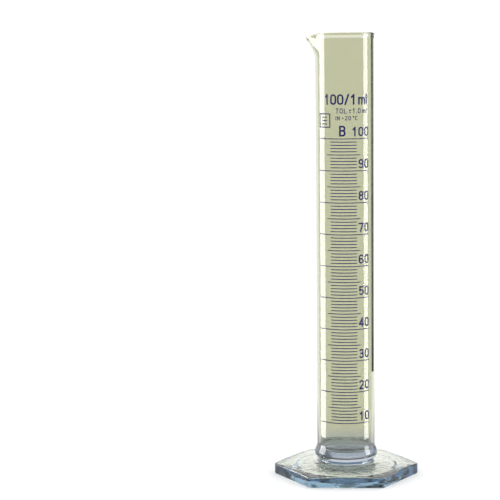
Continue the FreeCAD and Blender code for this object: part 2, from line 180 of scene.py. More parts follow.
CAMERA_PLACE = (-0.0104, -0.9426, 0.2320)
CAMERA_TURN = math.radians(2.4)
CAMERA_DIP = math.radians(6.8)
CAMERA_ROLL = -0.01
CAMERA_LENS = 130.4
SOFTBOX_DISTANCE = 0.12
SOFTBOX_HEIGHT = 0.36
SOFTBOX_STRENGTH = 9.0
LEFT_SOFTBOX = (-97, 0.062)     # bearing from -Y towards +X, and width
RIGHT_SOFTBOX = (84, 0.045)
SOFTBOX_DROP = 0.01             # of its lower edge below the floor
ROOM_SEEN = 1.2                 # brightness of the room to the camera and on matt surfaces
ROOM_IN_GLASS = 1.15            # as bright as the lit floor, so that no horizon shows in the glass
DARK_CARD = 0.03
DARK_CARD_BEARINGS = (28, 48)   # from +Y towards +X
DARK_CARD_BLUR = 8              # degrees, at each side of it
FLOOR_RADIUS = 0.3              # small, so that the dark card also shows low in the glass
FLOOR_GAP = 0.02 * MM
FLOOR_SIDES = 96
FLOOR_SHADES = (0.95, 0.97)     # the cloudy tone wanders between them


# --- node helpers --------------------------------------------------------------

class Graph:
    """Adds nodes to a tree and wires their inputs in one call."""

    def __init__(self, tree):
        self.tree = tree

    def put(self, kind, inputs=None, **settings):
        node = self.tree.nodes.new(kind)
        for name, value in settings.items():
            setattr(node, name, value)
        for key, value in (inputs or {}).items():
            if isinstance(value, bpy.types.NodeSocket):
                self.tree.links.new(value, node.inputs[key])
            else:
                node.inputs[key].default_value = value
        return node

    def maths(self, operation, *values, clamp=False):
        node = self.put("ShaderNodeMath", dict(enumerate(values)), operation=operation, use_clamp=clamp)
        return node.outputs[0]

    def split(self, vector):
        return self.put("ShaderNodeSeparateXYZ", {0: vector}).outputs

    def join(self, x, y, z):
        return self.put("ShaderNodeCombineXYZ", {0: x, 1: y, 2: z}).outputs[0]


def geometry_tree(name, inputs):
    """A geometry tree with its geometry sockets and the named inputs, as (graph, input sockets)."""
    tree = bpy.data.node_groups.new(name, "GeometryNodeTree")
    tree.interface.new_socket("Geometry", in_out="INPUT", socket_type="NodeSocketGeometry")
    for label, kind in inputs.items():
        tree.interface.new_socket(label, in_out="INPUT", socket_type="NodeSocket" + kind)
    tree.interface.new_socket("Geometry", in_out="OUTPUT", socket_type="NodeSocketGeometry")
    graph = Graph(tree)
    return graph, graph.put("NodeGroupInput").outputs


def finish_tree(graph, geometry, material):
    """Every geometry tree ends here: real geometry, smooth, with its material."""
    real = graph.put("GeometryNodeRealizeInstances", {0: geometry}).outputs[0]
    smooth = graph.put("GeometryNodeSetShadeSmooth", {0: real}).outputs[0]
    painted = graph.put("GeometryNodeSetMaterial", {"Geometry": smooth, "Material": material}).outputs[0]
    graph.put("NodeGroupOutput", {0: painted})
    return graph.tree


def grow(name, base, tree, values, material):
    """Runs a geometry tree on a base mesh and keeps the plain mesh that comes out."""
    source = bpy.data.objects.new(name + "_base", base)
    bpy.context.scene.collection.objects.link(source)
    modifier = source.modifiers.new("shape", "NODES")
    modifier.node_group = tree
    labels = {
        item.name: item.identifier for item in tree.interface.items_tree
        if item.item_type == "SOCKET" and item.in_out == "INPUT"
    }
    for label, value in values.items():
        modifier[labels[label]] = value
    modifier[labels["Material"]] = material
    bpy.context.view_layer.update()
    evaluated = source.evaluated_get(bpy.context.evaluated_depsgraph_get())
    mesh = bpy.data.meshes.new_from_object(evaluated)
    bpy.data.objects.remove(source)
    mesh.name = name
    piece = bpy.data.objects.new(name, mesh)
    bpy.context.scene.collection.objects.link(piece)
    return piece


def stand_in(piece, node):
    """Seats a finished piece in the frame in place of its node."""
    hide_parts(node)
    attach(piece, "root")


def mesh_of(name, points, edges=(), faces=()):
    mesh = bpy.data.meshes.new(name)
    mesh.from_pydata(points, edges, faces)
    mesh.update()
    return mesh


# --- materials -------------------------------------------------------------------

def new_material(name):
    material = bpy.data.materials.new(name)
    material.use_nodes = True
    material.node_tree.nodes.clear()
    return material, Graph(material.node_tree)


def wandering_group():
    """Shared by every finish: a height and a haze that wander over the surface, stretched as asked."""
    tree = bpy.data.node_groups.new("wandering_surface", "ShaderNodeTree")
    for name, direction, kind in (
        ("Place", "INPUT", "Vector"), ("Stretch", "INPUT", "Vector"), ("Softness", "INPUT", "Float"),
        ("Height", "OUTPUT", "Float"), ("Haze", "OUTPUT", "Float"),
    ):
        tree.interface.new_socket(name, in_out=direction, socket_type=f"NodeSocket{kind}")
    graph = Graph(tree)
    given = graph.put("NodeGroupInput").outputs
    stretched = graph.put("ShaderNodeVectorMath", {
        0: given["Place"], 1: given["Stretch"],
    }, operation="MULTIPLY").outputs[0]
    height = graph.put("ShaderNodeTexNoise", {
        "Vector": stretched, "Scale": 1.0, "Detail": 2.0, "Roughness": given["Softness"],
    }).outputs[0]
    haze = graph.put("ShaderNodeTexNoise", {"Vector": stretched, "Scale": 0.35, "Detail": 3.0}).outputs[0]
    graph.put("NodeGroupOutput", {"Height": height, "Haze": haze})
    return tree


WANDERING = wandering_group()


def wandering(graph, stretch, softness):
    """The shared group, placed in one material with its own stretch."""
    place = graph.put("ShaderNodeTexCoord").outputs["Object"]
    return graph.put("ShaderNodeGroup", {
        "Place": place, "Stretch": stretch, "Softness": softness,
    }, node_tree=WANDERING).outputs


def ranged(graph, value, start, end, low, high):
    """The value carried from one range smoothly into another."""
    return graph.put("ShaderNodeMapRange", {
        "Value": value, "From Min": start, "From Max": end, "To Min": low, "To Max": high,
    }, interpolation_type="SMOOTHSTEP").outputs[0]


def finished_glass(name, wander, clear_colour, deepening_and_painted_shade, deep_tint_and_painted_shade_colour, bump_strength, roughness):
    """Clear glass whose colour moves to a second colour by a mask: deeper towards the tube's thick sealed
    end, and on the foot the painted dark blue shade and reflection of its upright sides.
    """
    material, graph = new_material(name)
    surface = wandering(graph, *wander)
    colour = graph.put("ShaderNodeMix", {
        "Factor": deepening_and_painted_shade(graph), "A": clear_colour, "B": deep_tint_and_painted_shade_colour,
    }, data_type="RGBA").outputs["Result"]
    bump = graph.put("ShaderNodeBump", {
        "Height": surface["Height"], "Strength": bump_strength, "Distance": GLASS_WAVE,
    }).outputs[0]
    shader = graph.put("ShaderNodeBsdfPrincipled", {
        "Base Color": colour, "Roughness": ranged(graph, surface["Haze"], 0.3, 0.7, *roughness),
        "IOR": GLASS_IOR, "Transmission Weight": 1.0, "Normal": bump,
    })
    graph.put("ShaderNodeOutputMaterial", {0: shader.outputs[0]})
    return material


def towards_sealed_end(graph):
    """Rises from the straight wall down to the thick sealed end of the tube."""
    _, _, height = graph.split(graph.put("ShaderNodeTexCoord").outputs["Object"])
    return ranged(graph, height, BORE_FLOOR, STRAIGHT_LOW + SWELL_BLEND, 1.0, 0.0)


def on_upright_faces(graph):
    """Rises on the foot's upright sides, for the painted dark blue shade and reflection there."""
    _, _, upwards = graph.split(graph.put("ShaderNodeNewGeometry").outputs["Normal"])
    return ranged(graph, graph.maths("ABSOLUTE", upwards), 0.3, 0.85, 1.0, 0.0)


def drawn_glass():
    """The tube: faint lines along it, from the drawing."""
    return finished_glass(
        "drawn_borosilicate_glass", ((260, 260, 9), 0.5), THIN_GLASS, towards_sealed_end, THICK_GLASS,
        0.06, (0.002, 0.01),
    )


def pressed_glass():
    """The foot: soft waves left by the pressing mould, a lighter top and underside as painted light, and
    painted dark blue shade and reflection on its upright sides.
    """
    return finished_glass(
        "pressed_borosilicate_glass", ((320, 320, 320), 0.5), FOOT_TINT_AND_PAINTED_LIGHT, on_upright_faces,
        FOOT_SIDE_PAINTED_SHADE, 0.5, (0.004, 0.03),
    )


def blue_enamel():
    """Fired print: slightly grainy, with thin and thick places."""
    material, graph = new_material("fired_blue_enamel")
    surface = wandering(graph, (900, 900, 900), 0.6)
    colour = graph.put("ShaderNodeMix", {
        "Factor": surface["Haze"], "A": THICK_ENAMEL, "B": THIN_ENAMEL,
    }, data_type="RGBA")
    bump = graph.put("ShaderNodeBump", {
        "Height": surface["Height"], "Strength": 0.2, "Distance": ENAMEL,
    }).outputs[0]
    shader = graph.put("ShaderNodeBsdfPrincipled", {
        "Base Color": colour.outputs["Result"], "Specular IOR Level": 0.15, "Normal": bump,
        "Roughness": ranged(graph, surface["Height"], 0.3, 0.7, 0.32, 0.5),
    })
    graph.put("ShaderNodeOutputMaterial", {0: shader.outputs[0]})
    return material


TUBE_GLASS = drawn_glass()
FOOT_GLASS = pressed_glass()
BLUE = blue_enamel()


# --- tube ------------------------------------------------------------------------

def spinning_tree():
    """Spins the base profile (radius along X, height along Z) round Z, and pulls the spout out of it."""
    graph, given = geometry_tree("spun_tube_with_spout", {
        "Segments": "Int", "Turn": "Float", "Mouth Floor": "Float", "Mouth Top": "Float",
        "Reach": "Float", "Dip": "Float", "Half Angle": "Float", "Growth": "Float", "Material": "Material",
    })
    rows = graph.put(
        "GeometryNodeAttributeDomainSize", {0: given["Geometry"]}, component="MESH"
    ).outputs["Point Count"]
    columns = graph.maths("ADD", given["Segments"], 1)
    grid = graph.put("GeometryNodeMeshGrid", {"Vertices X": columns, "Vertices Y": rows}).outputs["Mesh"]
    index = graph.put("GeometryNodeInputIndex").outputs[0]
    column = graph.maths("FLOOR", graph.maths("DIVIDE", graph.maths("ADD", index, 0.5), rows))
    row = graph.maths("SUBTRACT", index, graph.maths("MULTIPLY", column, rows))
    profile = graph.put("GeometryNodeSampleIndex", {
        "Geometry": given["Geometry"], "Value": graph.put("GeometryNodeInputPosition").outputs[0],
        "Index": row,
    }, data_type="FLOAT_VECTOR").outputs[0]
    radius, _, height = graph.split(profile)
    angle = graph.maths("MULTIPLY", graph.maths("DIVIDE", column, given["Segments"]), 2 * math.pi)
    away = graph.maths("MINIMUM", angle, graph.maths("SUBTRACT", 2 * math.pi, angle))
    inside = graph.maths("MINIMUM", graph.maths("DIVIDE", away, given["Half Angle"]), 1.0)
    sideways = graph.maths("POWER", graph.maths("COSINE", graph.maths("MULTIPLY", inside, math.pi / 2)), 2.0)
    depth = graph.maths("SUBTRACT", given["Mouth Top"], given["Mouth Floor"])
    upwards = graph.maths(
        "DIVIDE", graph.maths("SUBTRACT", height, given["Mouth Floor"]), depth, clamp=True
    )
    reach = graph.maths("MULTIPLY", given["Reach"], graph.maths("POWER", upwards, given["Growth"]))
    pulled = graph.maths("ADD", radius, graph.maths("MULTIPLY", reach, sideways))
    hangs = graph.maths("MULTIPLY", graph.maths("MULTIPLY", given["Dip"], upwards), sideways)
    turn = graph.maths("ADD", graph.maths("ADD", angle, given["Turn"]), math.pi)
    place = graph.join(
        graph.maths("MULTIPLY", pulled, graph.maths("COSINE", turn)),
        graph.maths("MULTIPLY", pulled, graph.maths("SINE", turn)),
        graph.maths("SUBTRACT", height, hangs),
    )
    spun = graph.put("GeometryNodeSetPosition", {"Geometry": grid, "Position": place}).outputs[0]
    closed = graph.put("GeometryNodeMergeByDistance", {"Geometry": spun, "Distance": SAME_PLACE}).outputs[0]
    return finish_tree(graph, closed, given["Material"])


def circle_through(a, b, c):
    """Centre and radius of the circle through three points of a profile."""
    (ax, ay), (bx, by), (cx, cy) = a, b, c
    twice = 2 * (ax * (by - cy) + bx * (cy - ay) + cx * (ay - by))
    aa, bb, cc = ax * ax + ay * ay, bx * bx + by * by, cx * cx + cy * cy
    x = (aa * (by - cy) + bb * (cy - ay) + cc * (ay - by)) / twice
    y = (aa * (cx - bx) + bb * (ax - cx) + cc * (bx - ax)) / twice
    return x, y, math.hypot(ax - x, ay - y)


def arc_points(start, middle, end, steps):
    """Points of the arc from start to end through middle, without start."""
    x, y, radius = circle_through(start, middle, end)
    first, half_way, last = (math.atan2(p[1] - y, p[0] - x) for p in (start, middle, end))
    sweep = (last - first) % (2 * math.pi)
    if (half_way - first) % (2 * math.pi) > sweep:
        sweep -= 2 * math.pi
    return [
        (x + radius * math.cos(first + sweep * i / steps), y + radius * math.sin(first + sweep * i / steps))
        for i in range(1, steps + 1)
    ]


def even(start, end, steps):
    """Points of the straight line from start to end, without start."""
    return [
        (start[0] + (end[0] - start[0]) * i / steps, start[1] + (end[1] - start[1]) * i / steps)
        for i in range(1, steps + 1)
    ]


def eased(start, end, steps):
    """Points of a bend from start to end that is upright at both, without start."""
    points = []
    for i in range(1, steps + 1):
        t = i / steps
        share = t * t * (3 - 2 * t)
        points.append((start[0] + (end[0] - start[0]) * share, start[1] + (end[1] - start[1]) * t))
    return points


def tube_profile():
    """The tube's section from the middle of its seal, up outside, over the rim and down the bore."""
    swell_radius = TUBE_RADIUS + SWELL_OUT
    seal_radius = TUBE_RADIUS - SEAL_INSET
    seal = SEAL_HEIGHT - OVERLAP
    widest = SEAL_HEIGHT + SWELL_HEIGHT
    under_bulge = (
        seal_radius + SWELL_CURVE_OUT * (swell_radius - seal_radius),
        SEAL_HEIGHT + SWELL_CURVE_UP * SWELL_HEIGHT,
    )
    lip_radius = (WALL + RIM_BEAD) / 2
    lip_height = RIM_HEIGHT - lip_radius
    points = [(0.0, seal)]
    points += even(points[-1], (seal_radius, seal), 3)
    points += arc_points(points[-1], under_bulge, (swell_radius, widest), 14)
    points += eased(points[-1], (TUBE_RADIUS, SEAL_HEIGHT + SWELL_BLEND), 14)
    points += even(points[-1], (TUBE_RADIUS, MOUTH_FLOOR), 8)
    bead_foot = lip_height - RIM_BEAD_HEIGHT
    points += even(points[-1], (TUBE_RADIUS, bead_foot), 16)
    for step in range(1, BEAD_STEPS + 1):
        rise = step / BEAD_STEPS
        bead = RIM_BEAD * math.sin(math.pi / 2 * rise) ** 2
        points.append((TUBE_RADIUS + bead, bead_foot + RIM_BEAD_HEIGHT * rise))
    lip_middle = BORE_RADIUS + lip_radius
    points += arc_points(points[-1], (lip_middle, RIM_HEIGHT), (BORE_RADIUS, lip_height), 14)
    points += even(points[-1], (BORE_RADIUS, MOUTH_FLOOR), 16)
    points += even(points[-1], (BORE_RADIUS, STRAIGHT_LOW), 8)
    corner = INNER_CORNER * (1 - math.sqrt(0.5))
    points += arc_points(
        points[-1], (BORE_RADIUS - corner, BORE_FLOOR + corner), (BORE_RADIUS - INNER_CORNER, BORE_FLOOR), 10
    )
    points += even(points[-1], (0.0, BORE_FLOOR), 5)
    return points


def measuring_tube():
    """The drawn tube with its swollen end, rim and spout."""
    profile = tube_profile()
    base = mesh_of(
        "tube_profile", [(x, 0, z) for x, z in profile], [(i, i + 1) for i in range(len(profile) - 1)]
    )
    piece = grow("measuring_tube_glass", base, spinning_tree(), {
        "Segments": TUBE_SEGMENTS, "Turn": PRINT_TURN, "Mouth Floor": MOUTH_FLOOR,
        "Mouth Top": RIM_HEIGHT - (WALL + RIM_BEAD) / 2, "Reach": SPOUT_REACH, "Dip": SPOUT_DIP,
        "Half Angle": SPOUT_HALF_ANGLE, "Growth": SPOUT_GROWTH,
    }, TUBE_GLASS)
    face_outwards(piece.data)
    stand_in(piece, "measuring_tube")


def face_outwards(mesh):
    """Turns a closed shell's faces outwards, once its seam and poles are merged."""
    shell = bmesh.new()
    shell.from_mesh(mesh)
    bmesh.ops.remove_doubles(shell, verts=shell.verts, dist=SAME_PLACE)
    bmesh.ops.recalc_face_normals(shell, faces=shell.faces)
    shell.to_mesh(mesh)
    shell.free()
    mesh.set_sharp_from_angle(angle=SHARP_ANGLE)


# --- foot --------------------------------------------------------------------------

def outline_columns():
    """Round the hexagon, each column's middle of rounding and outward normal."""
    reach = (FLATS_HALF - CORNER_ROUND) / math.cos(math.pi / 6)
    columns = []
    for corner in range(6):
        facing = math.radians(60 * corner)
        middle = Vector((math.cos(facing), math.sin(facing))) * reach
        after = Vector((math.cos(facing + math.pi / 3), math.sin(facing + math.pi / 3))) * reach
        for step in range(CORNER_STEPS + 1):
            normal = facing + math.radians(-30 + 60 * step / CORNER_STEPS)
            columns.append((middle, Vector((math.cos(normal), math.sin(normal)))))
        flat = facing + math.pi / 6
        for step in range(1, FLAT_STEPS):
            columns.append((
                middle.lerp(after, step / FLAT_STEPS), Vector((math.cos(flat), math.sin(flat)))
            ))
    return columns


def dome_height(radius):
    """Height of the pressed top surface at a distance from the axis."""
    corner_radius = 2 * FLATS_HALF / math.sqrt(3)
    beyond = corner_radius + DOME_MARGIN
    slope = (FLAT_HEIGHT - CORNER_HEIGHT) / (corner_radius - FLATS_HALF)
    x, y, around = circle_through(
        (beyond, CORNER_HEIGHT - slope * DOME_MARGIN), (FLATS_HALF, FLAT_HEIGHT),
        (TUBE_RADIUS + SHOULDER_OUT, SHOULDER_HEIGHT),
    )
    side = 1 if y < 0 else -1
    return y + side * math.sqrt(around ** 2 - (radius - x) ** 2)


def foot_rows(columns):
    """The foot's surface as rings of points, from the middle of the top to the middle of the underside."""
    seal_radius = TUBE_RADIUS - SEAL_INSET
    shoulder_radius = TUBE_RADIUS + SHOULDER_OUT
    hollow = (
        seal_radius + PEDESTAL_CURVE_OUT * (shoulder_radius - seal_radius),
        SHOULDER_HEIGHT + PEDESTAL_CURVE_UP * (FOOT_HIGH.z - SHOULDER_HEIGHT),
    )
    edge = [(middle + normal * (CORNER_ROUND - EDGE_ROUND)) for middle, normal in columns]
    bearings = [point.normalized() for point in edge]

    def circle(radius, height):
        return [(b.x * radius, b.y * radius, height) for b in bearings]

    top = FOOT_HIGH.z + OVERLAP
    rows = [circle(0.0, top), circle(seal_radius / 2, top), circle(seal_radius, top)]
    rows += [
        circle(*place)
        for place in arc_points((seal_radius, FOOT_HIGH.z), hollow, (shoulder_radius, SHOULDER_HEIGHT), 8)
    ]
    for step in range(1, DOME_STEPS + 1):
        ring = []
        for bearing, rim in zip(bearings, edge):
            place = (bearing * shoulder_radius).lerp(rim, step / DOME_STEPS)
            ring.append((place.x, place.y, dome_height(place.length)))
        rows.append(ring)
    for step in range(1, EDGE_STEPS + 1):
        turn = math.pi / 2 * step / EDGE_STEPS
        ring = []
        for (middle, normal), rim in zip(columns, edge):
            place = middle + normal * (CORNER_ROUND - EDGE_ROUND * (1 - math.sin(turn)))
            ring.append((place.x, place.y, dome_height(rim.length) - EDGE_ROUND * (1 - math.cos(turn))))
        rows.append(ring)
    for step in range(EDGE_STEPS + 1):
        turn = math.pi / 2 * step / EDGE_STEPS
        ring = []
        for middle, normal in columns:
            place = middle + normal * (CORNER_ROUND - EDGE_ROUND * (1 - math.cos(turn)))
            ring.append((place.x, place.y, EDGE_ROUND * (1 - math.sin(turn))))
        rows.append(ring)
    rows.append(circle(RECESS_RADIUS, 0.0))
    ceiling_radius = RECESS_RADIUS - RECESS_WALL_SLOPE
    rise = RECESS_DEPTH - RECESS_WALL_DEPTH
    rows += [circle(*p) for p in even((RECESS_RADIUS, 0.0), (ceiling_radius, RECESS_WALL_DEPTH), 3)]
    ball = (ceiling_radius ** 2 + rise ** 2) / (2 * rise)
    for step in range(1, CEILING_STEPS + 1):
        radius = ceiling_radius * (1 - step / CEILING_STEPS)
        rows.append(circle(radius, RECESS_DEPTH - ball + math.sqrt(ball ** 2 - radius ** 2)))
    return rows


def hex_foot():
    """The pressed foot, skinned over its rings of points."""
    columns = outline_columns()
    rows = foot_rows(columns)
    count = len(columns)
    points = [point for row in rows for point in row]
    faces = [
        (r * count + c, r * count + (c + 1) % count, (r + 1) * count + (c + 1) % count, (r + 1) * count + c)
        for r in range(len(rows) - 1) for c in range(count)
    ]
    mesh = mesh_of("hex_foot_glass", points, (), faces)
    face_outwards(mesh)
    mesh.shade_smooth()
    mesh.materials.append(FOOT_GLASS)
    piece = bpy.data.objects.new("hex_foot_glass", mesh)
    bpy.context.scene.collection.objects.link(piece)
    stand_in(piece, "hex_foot")


# --- scale ---------------------------------------------------------------------------

def scale_tree():
    """Marks up the tube: a strip at every step, but not where the next longer marks stand."""
    graph, given = geometry_tree("scale_marks", {
        "First": "Int", "Last": "Int", "Step": "Int", "Left Out": "Int", "Half Arc": "Float",
        "Zero Height": "Float", "Spacing": "Float", "Tube Radius": "Float", "Width": "Float",
        "Thickness": "Float", "Turn": "Float", "Material": "Material",
    })
    span = graph.maths("SUBTRACT", given["Last"], given["First"])
    count = graph.maths("ADD", graph.maths("FLOOR", graph.maths("DIVIDE", span, given["Step"])), 1)
    rung = graph.maths("MULTIPLY", given["Spacing"], given["Step"])
    low = graph.maths("ADD", given["Zero Height"], graph.maths("MULTIPLY", given["Spacing"], given["First"]))
    places = graph.put("GeometryNodeMeshLine", {
        "Count": count, "Start Location": graph.join(0, 0, low), "Offset": graph.join(0, 0, rung),
    }, mode="OFFSET").outputs[0]
    index = graph.put("GeometryNodeInputIndex").outputs[0]
    millilitres = graph.maths("ADD", graph.maths("MULTIPLY", index, given["Step"]), given["First"])
    share = graph.maths("DIVIDE", graph.maths("ADD", millilitres, 0.5), given["Left Out"])
    past = graph.maths("MULTIPLY", graph.maths("FRACT", share), given["Left Out"])
    longer = graph.put("FunctionNodeCompare", {0: past, 1: 0.9}, operation="LESS_THAN").outputs[0]
    kept = graph.put("GeometryNodeDeleteGeometry", {0: places, 1: longer}, domain="POINT").outputs[0]
    strip = graph.put("GeometryNodeMeshCube", {
        "Size": graph.join(graph.maths("MULTIPLY", given["Half Arc"], 2), given["Thickness"], given["Width"]),
        "Vertices X": 41, "Vertices Y": 2, "Vertices Z": 3,
    }).outputs["Mesh"]
    placed = graph.put("GeometryNodeInstanceOnPoints", {"Points": kept, "Instance": strip}).outputs[0]
    real = graph.put("GeometryNodeRealizeInstances", {0: placed}).outputs[0]
    position = graph.put("GeometryNodeInputPosition").outputs[0]
    along, out, height = graph.split(position)
    half_thickness = graph.maths("DIVIDE", given["Thickness"], 2)
    radius = graph.maths("ADD", graph.maths("SUBTRACT", given["Tube Radius"], out), half_thickness)
    angle = graph.maths("ADD", along, given["Turn"])
    place = graph.join(
        graph.maths("MULTIPLY", radius, graph.maths("SINE", angle)),
        graph.maths("MULTIPLY", graph.maths("MULTIPLY", radius, -1), graph.maths("COSINE", angle)),
        height,
    )
    wrapped = graph.put("GeometryNodeSetPosition", {"Geometry": real, "Position": place}).outputs[0]
    return finish_tree(graph, wrapped, given["Material"])


def scale_marks(numeral_end):
    """The three lengths of mark, each a piece of its own."""
    tree = scale_tree()
    beyond = MARK_TO + 1
    for name, step, left_out, half_arc in (
        ("ten_ml_marks", 10, beyond, numeral_end),
        ("five_ml_marks", 5, 10, FIVE_ML_HALF_ARC),
        ("one_ml_marks", 1, 5, ONE_ML_HALF_ARC),
    ):
        piece = grow(name + "_print", mesh_of(name, []), tree, {
            "First": MARK_FROM, "Last": MARK_TO, "Step": step, "Left Out": left_out,
            "Half Arc": half_arc, "Zero Height": ZERO_HEIGHT, "Spacing": ML_HEIGHT,
            "Tube Radius": TUBE_RADIUS - PRINT_BITE, "Width": MARK_WIDTH,
            "Thickness": ENAMEL + PRINT_BITE, "Turn": PRINT_TURN,
        }, BLUE)
        stand_in(piece, name)


# --- lettering ---------------------------------------------------------------------
# A glyph is its width and a list of strokes. A stroke is a chain of lines and arcs along
# its middle, in units of the middle's full height, with y = 0 on the baseline. A line is
# its two ends, and an arc is its centre, radius, and first and last degree. A space takes
# back some of the two gaps beside it, so its width is below nothing.

def pen_line(*numbers):
    return ("line", *numbers)


def pen_arc(*numbers):
    return ("arc", *numbers)


def ring(x, y, radius):
    return [pen_arc(x, y, radius, 0, 360)]


def oval(width):
    """A closed loop of full height with round ends."""
    half = width / 2
    return [
        pen_arc(half, 1 - half, half, 0, 180),
        pen_line(0, 1 - half, 0, half),
        pen_arc(half, half, half, 180, 360),
        pen_line(width, half, width, 1 - half),
    ]


GLYPHS = {
    "0": (0.54, [oval(0.54)]),
    "1": (0.54, [[pen_line(0.31, 0, 0.31, 1)], [pen_line(0.09, 0.78, 0.31, 1)]]),
    "2": (0.54, [
        [pen_arc(0.27, 0.73, 0.27, 172, -40)],
        [pen_line(0.465, 0.545, 0.02, 0.02)],
        [pen_line(0, 0, 0.54, 0)],
    ]),
    "3": (0.54, [
        [pen_arc(0.265, 0.76, 0.24, 165, -90)],
        [pen_arc(0.265, 0.26, 0.26, 90, -165)],
        [pen_line(0.18, 0.52, 0.265, 0.52)],
    ]),
    "4": (0.54, [
        [pen_line(0.4, 0, 0.4, 1)],
        [pen_line(0.4, 1, 0, 0.27)],
        [pen_line(0, 0.25, 0.56, 0.25)],
    ]),
    "5": (0.54, [
        [pen_line(0.1, 1, 0.5, 1)],
        [pen_line(0.08, 1, 0.04, 0.5)],
        [pen_arc(0.255, 0.32, 0.285, 142, -152)],
    ]),
    "6": (0.54, [
        ring(0.27, 0.28, 0.27),
        [pen_line(0, 0.28, 0, 0.73), pen_arc(0.27, 0.73, 0.27, 180, 22)],
    ]),
    "7": (0.54, [[pen_line(0, 1, 0.52, 1)], [pen_line(0.52, 1, 0.17, 0)]]),
    "8": (0.54, [ring(0.27, 0.76, 0.235), ring(0.27, 0.265, 0.265)]),
    "9": (0.54, [
        ring(0.27, 0.72, 0.27),
        [pen_arc(0.27, 0.27, 0.27, 202, 360), pen_line(0.54, 0.27, 0.54, 0.72)],
    ]),
    "/": (0.36, [[pen_line(0, -0.02, 0.36, 1.02)]]),
    "+": (0.5, [[pen_line(0.1, 0.5, 0.4, 0.5)], [pen_line(0.25, 0.35, 0.25, 0.65)]]),
    "±": (0.5, [
        [pen_line(0.1, 0.6, 0.4, 0.6)],
        [pen_line(0.25, 0.45, 0.25, 0.75)],
        [pen_line(0.1, 0.1, 0.4, 0.1)],
    ]),
    ".": (0.02, [[pen_line(0, 0, 0.02, 0)]]),
    "°": (0.26, [ring(0.13, 0.87, 0.13)]),
    "B": (0.54, [
        [pen_line(0, 0, 0, 1)],
        [pen_line(0, 1, 0.28, 1), pen_arc(0.28, 0.765, 0.235, 90, -90), pen_line(0.28, 0.53, 0, 0.53)],
        [pen_arc(0.28, 0.265, 0.265, 90, -90), pen_line(0.28, 0, 0, 0)],
    ]),
    "C": (0.54, [[
        pen_arc(0.29, 0.71, 0.29, 28, 180), pen_line(0, 0.71, 0, 0.29), pen_arc(0.29, 0.29, 0.29, 180, 332),
    ]]),
    "I": (0.0, [[pen_line(0, 0, 0, 1)]]),
    "L": (0.44, [[pen_line(0, 1, 0, 0)], [pen_line(0, 0, 0.44, 0)]]),
    "N": (0.54, [[pen_line(0, 0, 0, 1)], [pen_line(0, 1, 0.54, 0)], [pen_line(0.54, 0, 0.54, 1)]]),
    "O": (0.62, [oval(0.62)]),
    "T": (0.54, [[pen_line(0, 1, 0.54, 1)], [pen_line(0.27, 0, 0.27, 1)]]),
    "l": (0.0, [[pen_line(0, 0, 0, 1)]]),
    "m": (0.76, [
        [pen_line(0, 0, 0, 0.68)],
        [pen_arc(0.19, 0.49, 0.19, 180, 0), pen_line(0.38, 0.49, 0.38, 0)],
        [pen_arc(0.57, 0.49, 0.19, 180, 0), pen_line(0.76, 0.49, 0.76, 0)],
    ]),
    " ": (-0.15, []),
}


def pen_places(stroke, step):
    """Places along a stroke's middle, each with the direction to its left."""
    places = []
    for piece in stroke:
        if piece[0] == "line":
            x0, y0, x1, y1 = piece[1:]
            length = math.hypot(x1 - x0, y1 - y0)
            count = max(1, math.ceil(length / step))
            left = (-(y1 - y0) / length, (x1 - x0) / length)
            places += [
                (x0 + (x1 - x0) * i / count, y0 + (y1 - y0) * i / count, *left) for i in range(count + 1)
            ]
            continue
        x, y, radius, start, end = piece[1:]
        count = max(8, math.ceil(abs(end - start) / ARC_STEP))
        inwards = -1 if end > start else 1
        for i in range(count + 1):
            turn = math.radians(start + (end - start) * i / count)
            across = (math.cos(turn), math.sin(turn))
            places.append((
                x + radius * across[0], y + radius * across[1], inwards * across[0], inwards * across[1]
            ))
    kept = places[:1]
    for place in places[1:]:
        if math.dist(place[:2], kept[-1][:2]) > step / 100:
            kept.append(place)
    return kept


def squared(stroke, half):
    """The stroke with its straight ends run on by half its width, so that corners fill."""
    pieces = list(stroke)
    if pieces[0][0] == "line":
        x0, y0, x1, y1 = pieces[0][1:]
        reach = half / math.hypot(x1 - x0, y1 - y0)
        pieces[0] = pen_line(x0 - (x1 - x0) * reach, y0 - (y1 - y0) * reach, x1, y1)
    if pieces[-1][0] == "line":
        x0, y0, x1, y1 = pieces[-1][1:]
        reach = half / math.hypot(x1 - x0, y1 - y0)
        pieces[-1] = pen_line(x0, y0, x1 + (x1 - x0) * reach, y1 + (y1 - y0) * reach)
    return pieces


